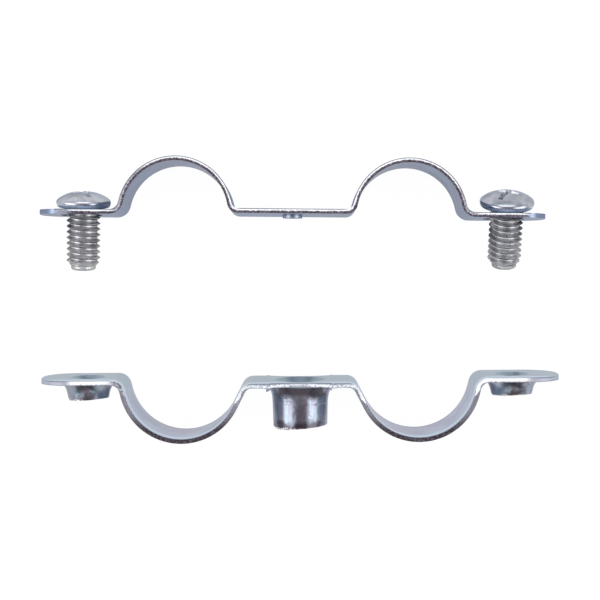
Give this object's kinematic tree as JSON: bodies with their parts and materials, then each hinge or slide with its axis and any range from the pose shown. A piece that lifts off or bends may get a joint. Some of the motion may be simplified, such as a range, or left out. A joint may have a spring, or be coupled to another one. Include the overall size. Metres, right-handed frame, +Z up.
{
  "type": "double conduit strap",
  "caption": "Sheet steel conduit clip for a pair of tubes, taken apart into its cover strap with loose screws and its base strap with a drawn boss.",
  "frame": {"origin": "middle of the floor under the whole object", "axes": "+X along both straps, +Y from the base strap towards the cover strap, +Z up, across the band's width"},
  "size_m": [0.0902, 0.0494, 0.0143],
  "materials": {
    "strap_zinc": "bright zinc plating with a faint blue passivation over rolled steel sheet",
    "screw_zinc": "bright zinc plating over cold headed steel"
  },
  "bodies": {
    "root": {"cover_strap": "strap_zinc", "base_strap": "strap_zinc", "screw_left": "screw_zinc", "screw_right": "screw_zinc"}
  },
  "joints": []
}
